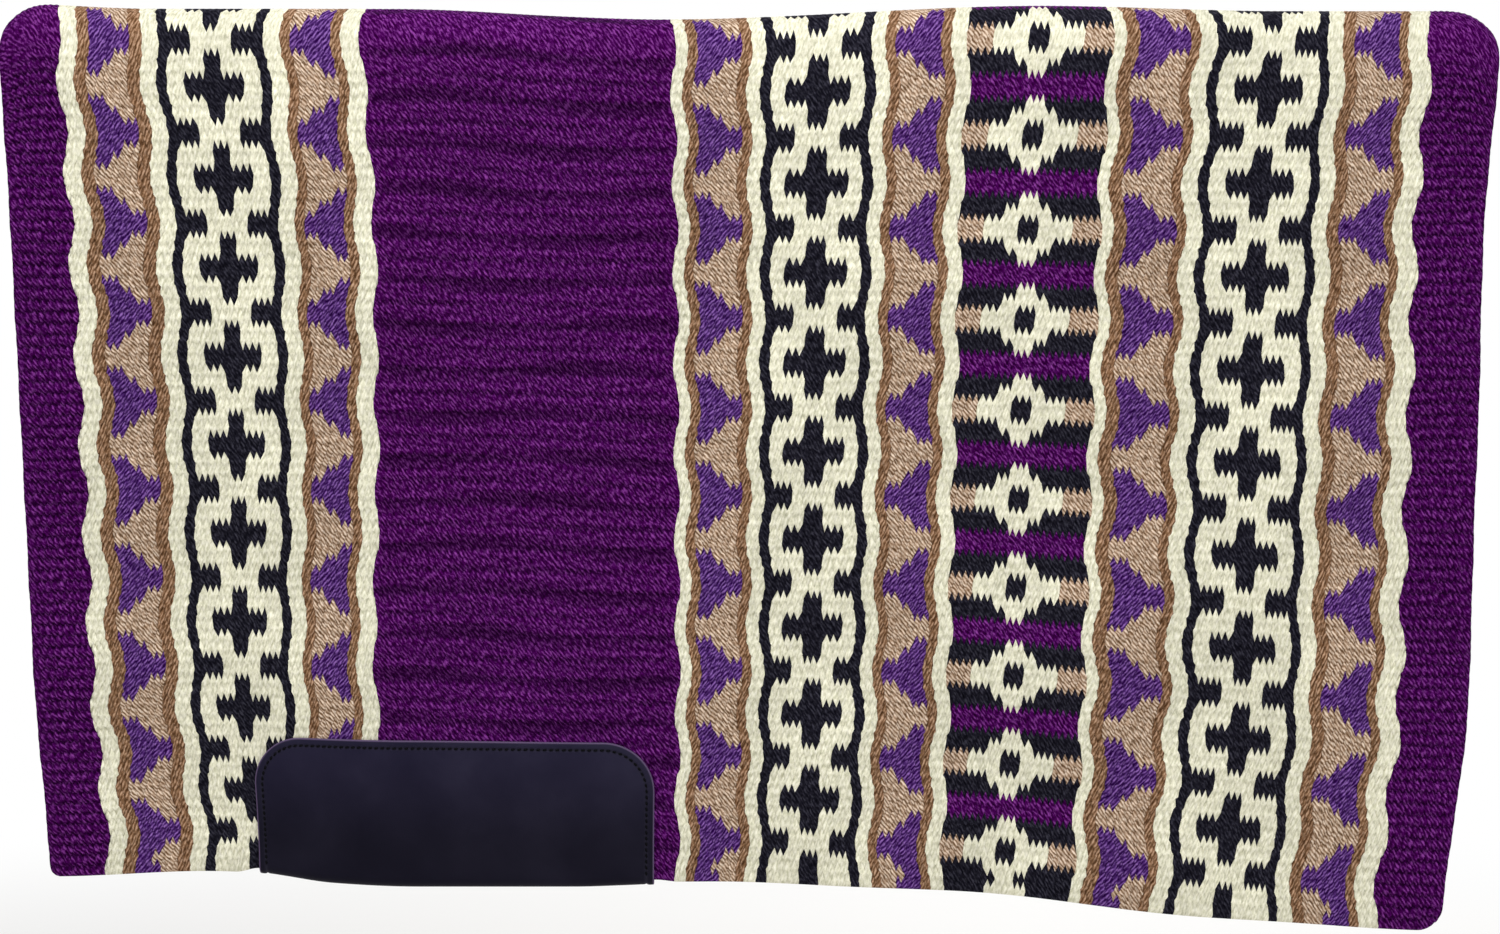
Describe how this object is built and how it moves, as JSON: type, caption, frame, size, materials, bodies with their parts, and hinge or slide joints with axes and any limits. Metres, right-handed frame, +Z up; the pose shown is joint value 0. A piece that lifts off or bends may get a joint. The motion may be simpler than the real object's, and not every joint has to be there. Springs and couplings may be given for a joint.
{
  "type": "saddle blanket",
  "caption": "Thick woven wool saddle blanket folded over a thin rail, with cross, triangle and diamond weft bands and a wear leather wrapped round each side's hem.",
  "frame": {"origin": "middle of the rail's top, where the fold's inner face rests on the blanket's spine line", "axes": "+X towards the rear edge, -Y the near side, +Z up as the blanket hangs"},
  "size_m": [0.864, 0.0542, 0.5324],
  "materials": {
    "purple_wool": "deep purple weft-faced wool, ribbed",
    "cream_wool": "cream weft-faced wool, ribbed",
    "black_wool": "black weft-faced wool, ribbed",
    "brown_wool": "brown weft-faced wool",
    "tan_wool": "marled tan weft-faced wool",
    "violet_wool": "violet weft-faced wool",
    "wear_leather": "smooth blue-black leather, satin",
    "seam_thread": "dark waxed sewing thread"
  },
  "bodies": {
    "spine": {"front_border_spine": "purple_wool", "front_cross_band_spine": "cream_wool", "field_spine": "purple_wool", "middle_cross_band_spine": "cream_wool", "diamond_band_spine": "black_wool", "rear_cross_band_spine": "cream_wool", "rear_border_spine": "purple_wool"},
    "near_flap": {"front_border_near": "purple_wool", "front_cross_band_near": "cream_wool", "field_near": "purple_wool", "middle_cross_band_near": "cream_wool", "diamond_band_near": "black_wool", "rear_cross_band_near": "cream_wool", "rear_border_near": "purple_wool", "wear_leather_near": "wear_leather", "seam_thread_near_outside": "seam_thread", "seam_thread_near_inside": "seam_thread"},
    "off_flap": {"front_border_off": "purple_wool", "front_cross_band_off": "cream_wool", "field_off": "purple_wool", "middle_cross_band_off": "cream_wool", "diamond_band_off": "black_wool", "rear_cross_band_off": "cream_wool", "rear_border_off": "purple_wool", "wear_leather_off": "wear_leather", "seam_thread_off_outside": "seam_thread", "seam_thread_off_inside": "seam_thread"}
  },
  "joints": [
    {"name": "near_flap_hinge", "type": "hinge", "parent": "spine", "child": "near_flap", "pos_m": [0, -0.01428, 0.00158], "axis": [-1, 0, 0], "range_deg": [0, 90]},
    {"name": "off_flap_hinge", "type": "hinge", "parent": "spine", "child": "off_flap", "pos_m": [0, 0.01428, 0.00158], "axis": [1, 0, 0], "range_deg": [0, 90]}
  ]
}
